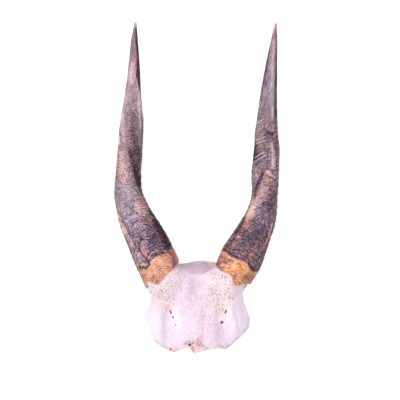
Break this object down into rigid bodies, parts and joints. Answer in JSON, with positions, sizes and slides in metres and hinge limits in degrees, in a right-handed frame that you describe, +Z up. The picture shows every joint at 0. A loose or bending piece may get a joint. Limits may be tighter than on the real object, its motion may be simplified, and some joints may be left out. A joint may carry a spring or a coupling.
{
  "type": "bushbuck skull plate with horns",
  "caption": "Sawn skull cap of bleached bone carrying a pair of dark, keeled, spiralling antelope horn sheaths, lying on its back.",
  "frame": {"origin": "middle of the foot of the bounding box, on the surface that it lies on", "axes": "+Y from the nasal edge towards the horn tips, +Z up out of the table, the way the forehead faces, X from side to side"},
  "size_m": [0.1666, 0.3298, 0.0664],
  "materials": {
    "bone": "dry bleached bone, porous, near white with tan stains in the pits",
    "horn_left": "dark ringed keratin, satin, with an orange base and paler tip",
    "horn_right": "dark ringed keratin, satin, with an orange base and paler tip"
  },
  "bodies": {
    "root": {"skull_plate": "bone", "horn_left": "horn_left", "horn_right": "horn_right"}
  },
  "joints": []
}
